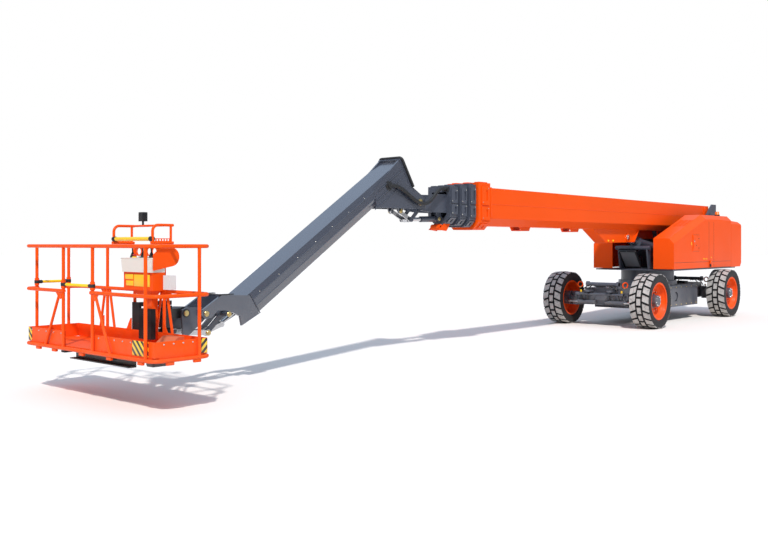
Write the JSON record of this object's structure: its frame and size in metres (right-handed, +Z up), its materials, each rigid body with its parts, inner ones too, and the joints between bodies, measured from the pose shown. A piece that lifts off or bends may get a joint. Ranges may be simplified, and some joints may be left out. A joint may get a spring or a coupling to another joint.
{
  "type": "articulating boom lift",
  "caption": "Self-propelled aerial work platform with a turntable, telescoping main boom, articulating jib and a railed basket on steered rubber-tyred wheels.",
  "frame": {"origin": "middle of the machine's footprint box on the ground", "axes": "+X towards the platform, +Y to the machine's left, +Z up"},
  "size_m": [17.91, 2.77, 3.112],
  "materials": {
    "orange_paint": "gloss enamel",
    "grey_paint": "satin enamel",
    "black_paint": "satin",
    "bright_steel": "bright",
    "tyre_rubber": "moulded rubber",
    "yellow_paint": "gloss enamel",
    "beige_plastic": "moulded",
    "amber_lens": "clear lens"
  },
  "bodies": {
    "chassis": {"chassis_frame": "grey_paint"},
    "axle_fl": {"axle_beam_fl": "grey_paint"},
    "knuckle_fl": {"knuckle_fl": "grey_paint"},
    "steer_rod_fl": {"steer_rod_fl": "bright_steel"},
    "wheel_fl": {"rim_fl": "orange_paint", "tyre_fl": "tyre_rubber"},
    "axle_fr": {"axle_beam_fr": "grey_paint"},
    "knuckle_fr": {"knuckle_fr": "grey_paint"},
    "steer_rod_fr": {"steer_rod_fr": "bright_steel"},
    "wheel_fr": {"rim_fr": "orange_paint", "tyre_fr": "tyre_rubber"},
    "axle_rl": {"axle_beam_rl": "grey_paint"},
    "knuckle_rl": {"knuckle_rl": "grey_paint"},
    "steer_rod_rl": {"steer_rod_rl": "bright_steel"},
    "wheel_rl": {"rim_rl": "orange_paint", "tyre_rl": "tyre_rubber"},
    "axle_rr": {"axle_beam_rr": "grey_paint"},
    "knuckle_rr": {"knuckle_rr": "grey_paint"},
    "steer_rod_rr": {"steer_rod_rr": "bright_steel"},
    "wheel_rr": {"rim_rr": "orange_paint", "tyre_rr": "tyre_rubber"},
    "turntable": {"turntable_deck": "grey_paint", "turret": "grey_paint", "counterweight": "orange_paint", "engine_block": "black_paint", "front_panel": "black_paint"},
    "hood_l": {"hood_left": "orange_paint", "beacon": "amber_lens"},
    "hood_r": {"hood_right": "orange_paint"},
    "door": {"control_door": "orange_paint"},
    "lift_barrel": {"lift_barrel": "grey_paint"},
    "lift_rod": {"lift_rod": "bright_steel"},
    "boom_base": {"boom_base": "orange_paint"},
    "boom_mid_1": {"boom_mid_1": "grey_paint"},
    "boom_mid_2": {"boom_mid_2": "grey_paint"},
    "boom_fly": {"boom_fly": "grey_paint", "hose_guide": "orange_paint"},
    "jib": {"jib_arm": "grey_paint"},
    "jib_barrel": {"jib_barrel": "grey_paint"},
    "jib_rod": {"jib_rod": "bright_steel"},
    "jib_rocker": {"jib_rocker": "grey_paint"},
    "jib_link": {"jib_link": "bright_steel"},
    "level_rod": {"level_rod": "bright_steel"},
    "level_link": {"level_link": "bright_steel"},
    "level_rocker": {"level_rocker": "grey_paint"},
    "level_bar": {"level_bar": "bright_steel"},
    "yoke": {"platform_yoke": "grey_paint"},
    "rotator": {"rotator": "black_paint"},
    "platform": {"platform_floor": "orange_paint", "platform_rails": "orange_paint", "console": "orange_paint", "control_box": "beige_plastic", "upper_guard": "orange_paint", "work_light": "black_paint", "platform_fittings": "black_paint"},
    "gate_front": {"gate_bar_front": "yellow_paint"},
    "gate_side": {"gate_bar_side": "yellow_paint"}
  },
  "joints": [
    {"name": "axle_slide_fl", "type": "slide", "parent": "chassis", "child": "axle_fl", "axis": [0, 1, 0], "range_m": [0, 0.55]},
    {"name": "steer_fl", "type": "hinge", "parent": "axle_fl", "child": "knuckle_fl", "pos_m": [-3.4575, 0.715, 0.5775], "axis": [0, 0, 1], "range_deg": [-30, 30]},
    {"name": "steer_rod_slide_fl", "type": "slide", "parent": "axle_fl", "child": "steer_rod_fl", "axis": [0, 1, 0], "range_m": [-0.13, 0.13]},
    {"name": "wheel_spin_fl", "type": "hinge", "parent": "knuckle_fl", "child": "wheel_fl", "pos_m": [-3.4575, 1.0225, 0.5775], "axis": [0, 1, 0], "continuous": true},
    {"name": "axle_slide_fr", "type": "slide", "parent": "chassis", "child": "axle_fr", "axis": [0, -1, 0], "range_m": [0, 0.55]},
    {"name": "steer_fr", "type": "hinge", "parent": "axle_fr", "child": "knuckle_fr", "pos_m": [-3.4575, -0.715, 0.5775], "axis": [0, 0, 1], "range_deg": [-30, 30]},
    {"name": "steer_rod_slide_fr", "type": "slide", "parent": "axle_fr", "child": "steer_rod_fr", "axis": [0, -1, 0], "range_m": [-0.13, 0.13]},
    {"name": "wheel_spin_fr", "type": "hinge", "parent": "knuckle_fr", "child": "wheel_fr", "pos_m": [-3.4575, -1.0225, 0.5775], "axis": [0, 1, 0], "continuous": true},
    {"name": "axle_slide_rl", "type": "slide", "parent": "chassis", "child": "axle_rl", "axis": [0, 1, 0], "range_m": [0, 0.55]},
    {"name": "steer_rl", "type": "hinge", "parent": "axle_rl", "child": "knuckle_rl", "pos_m": [-7.6125, 0.715, 0.5775], "axis": [0, 0, 1], "range_deg": [-30, 30]},
    {"name": "steer_rod_slide_rl", "type": "slide", "parent": "axle_rl", "child": "steer_rod_rl", "axis": [0, 1, 0], "range_m": [-0.13, 0.13]},
    {"name": "wheel_spin_rl", "type": "hinge", "parent": "knuckle_rl", "child": "wheel_rl", "pos_m": [-7.6125, 1.0225, 0.5775], "axis": [0, 1, 0], "continuous": true},
    {"name": "axle_slide_rr", "type": "slide", "parent": "chassis", "child": "axle_rr", "axis": [0, -1, 0], "range_m": [0, 0.55]},
    {"name": "steer_rr", "type": "hinge", "parent": "axle_rr", "child": "knuckle_rr", "pos_m": [-7.6125, -0.715, 0.5775], "axis": [0, 0, 1], "range_deg": [-30, 30]},
    {"name": "steer_rod_slide_rr", "type": "slide", "parent": "axle_rr", "child": "steer_rod_rr", "axis": [0, -1, 0], "range_m": [-0.13, 0.13]},
    {"name": "wheel_spin_rr", "type": "hinge", "parent": "knuckle_rr", "child": "wheel_rr", "pos_m": [-7.6125, -1.0225, 0.5775], "axis": [0, 1, 0], "continuous": true},
    {"name": "swing", "type": "hinge", "parent": "chassis", "child": "turntable", "pos_m": [-5.535, 0, 0.93], "axis": [0, 0, 1], "continuous": true},
    {"name": "hood_left_open", "type": "hinge", "parent": "turntable", "child": "hood_l", "pos_m": [-7.385, 0.53, 2.404], "axis": [1, 0, 0], "range_deg": [0, 50]},
    {"name": "hood_right_open", "type": "hinge", "parent": "turntable", "child": "hood_r", "pos_m": [-7.385, -0.53, 2.404], "axis": [-1, 0, 0], "range_deg": [0, 50]},
    {"name": "control_door_open", "type": "hinge", "parent": "hood_l", "child": "door", "pos_m": [-5.825, 0.989, 1.7975], "axis": [0, 0, -1], "range_deg": [0, 100]},
    {"name": "boom_lift", "type": "hinge", "parent": "turntable", "child": "boom_base", "pos_m": [-8.485, 0, 2.45], "axis": [0, -1, 0], "range_deg": [0, 75]},
    {"name": "lift_barrel_swing", "type": "hinge", "parent": "turntable", "child": "lift_barrel", "pos_m": [-7.435, 0, 1.43], "axis": [0, -1, 0], "range_deg": [0, 80]},
    {"name": "lift_rod_slide", "type": "slide", "parent": "lift_barrel", "child": "lift_rod", "axis": [0.9886, 0, 0.1505], "range_m": [0, 1.85]},
    {"name": "boom_extend_1", "type": "slide", "parent": "boom_base", "child": "boom_mid_1", "axis": [1, 0, 0], "range_m": [0, 8.5]},
    {"name": "boom_extend_2", "type": "slide", "parent": "boom_mid_1", "child": "boom_mid_2", "axis": [1, 0, 0], "range_m": [0, 8.5]},
    {"name": "boom_extend_3", "type": "slide", "parent": "boom_mid_2", "child": "boom_fly", "axis": [1, 0, 0], "range_m": [0, 8.5]},
    {"name": "jib_lift", "type": "hinge", "parent": "boom_fly", "child": "jib", "pos_m": [3.225, 0, 2.44], "axis": [0, 1, 0], "range_deg": [-95, 12]},
    {"name": "jib_rocker_swing", "type": "hinge", "parent": "boom_fly", "child": "jib_rocker", "pos_m": [3.085, 0, 2.37], "axis": [0, 1, 0], "range_deg": [-75, 15]},
    {"name": "jib_link_swing", "type": "hinge", "parent": "jib", "child": "jib_link", "pos_m": [3.585, 0, 2.29], "axis": [0, 1, 0], "range_deg": [-10, 40]},
    {"name": "jib_barrel_swing", "type": "hinge", "parent": "boom_fly", "child": "jib_barrel", "pos_m": [2.565, 0, 2.19], "axis": [0, 1, 0], "range_deg": [-30, 10]},
    {"name": "jib_rod_slide", "type": "slide", "parent": "jib_barrel", "child": "jib_rod", "axis": [0.9994, 0, -0.0333], "range_m": [-0.03, 0.13]},
    {"name": "yoke_level", "type": "hinge", "parent": "jib", "child": "yoke", "pos_m": [7.41, 0, 0.913], "axis": [0, 1, 0], "range_deg": [-15, 95]},
    {"name": "level_rocker_swing", "type": "hinge", "parent": "jib", "child": "level_rocker", "pos_m": [7.058, 0, 0.886], "axis": [0, 1, 0], "range_deg": [-15, 95]},
    {"name": "level_bar_swing", "type": "hinge", "parent": "level_rocker", "child": "level_bar", "pos_m": [7.303, 0, 0.663], "axis": [0, 1, 0], "range_deg": [-95, 15]},
    {"name": "level_link_swing", "type": "hinge", "parent": "level_rocker", "child": "level_link", "pos_m": [7.303, 0, 0.663], "axis": [0, 1, 0], "range_deg": [-45, 10]},
    {"name": "level_rod_slide", "type": "slide", "parent": "jib", "child": "level_rod", "axis": [0.8415, 0, -0.5402], "range_m": [-0.45, 0.12]},
    {"name": "platform_tilt", "type": "hinge", "parent": "yoke", "child": "rotator", "pos_m": [7.665, 0, 0.93], "axis": [0, -1, 0], "range_deg": [-75, 0]},
    {"name": "platform_turn", "type": "hinge", "parent": "rotator", "child": "platform", "pos_m": [7.865, 0, 0.895], "axis": [0, 0, 1], "range_deg": [-90, 90]},
    {"name": "gate_front_lift", "type": "slide", "parent": "platform", "child": "gate_front", "axis": [0, 0, 1], "range_m": [0, 0.35]},
    {"name": "gate_side_lift", "type": "slide", "parent": "platform", "child": "gate_side", "axis": [0, 0, 1], "range_m": [0, 0.35]}
  ],
  "couplings": [
    {"joint": "steer_rod_slide_fl", "follows": "steer_fl", "m_per_rad": 0.23109},
    {"joint": "axle_slide_fr", "follows": "axle_slide_fl", "ratio": 1},
    {"joint": "steer_fr", "follows": "steer_fl", "ratio": 1},
    {"joint": "steer_rod_slide_fr", "follows": "steer_fl", "m_per_rad": -0.23109},
    {"joint": "steer_rod_slide_rl", "follows": "steer_rl", "m_per_rad": -0.23109},
    {"joint": "axle_slide_rr", "follows": "axle_slide_rl", "ratio": 1},
    {"joint": "steer_rr", "follows": "steer_rl", "ratio": 1},
    {"joint": "steer_rod_slide_rr", "follows": "steer_rl", "m_per_rad": 0.23109},
    {"joint": "lift_barrel_swing", "follows": "boom_lift", "ratio": 0.99845},
    {"joint": "lift_rod_slide", "follows": "boom_lift", "m_per_rad": 1.3616},
    {"joint": "boom_extend_2", "follows": "boom_extend_1", "ratio": 1},
    {"joint": "boom_extend_3", "follows": "boom_extend_1", "ratio": 1},
    {"joint": "jib_rocker_swing", "follows": "jib_lift", "ratio": 0.73349},
    {"joint": "jib_link_swing", "follows": "jib_lift", "ratio": -0.28563},
    {"joint": "jib_barrel_swing", "follows": "jib_lift", "ratio": 0.2546},
    {"joint": "jib_rod_slide", "follows": "jib_lift", "m_per_rad": -0.06368},
    {"joint": "yoke_level", "follows": "jib_lift", "ratio": -1},
    {"joint": "level_rocker_swing", "follows": "jib_lift", "ratio": -1},
    {"joint": "level_bar_swing", "follows": "jib_lift", "ratio": 1},
    {"joint": "level_link_swing", "follows": "jib_lift", "ratio": 0.3784},
    {"joint": "level_rod_slide", "follows": "jib_lift", "m_per_rad": 0.20744},
    {"joint": "platform_tilt", "follows": "boom_lift", "ratio": -1}
  ]
}
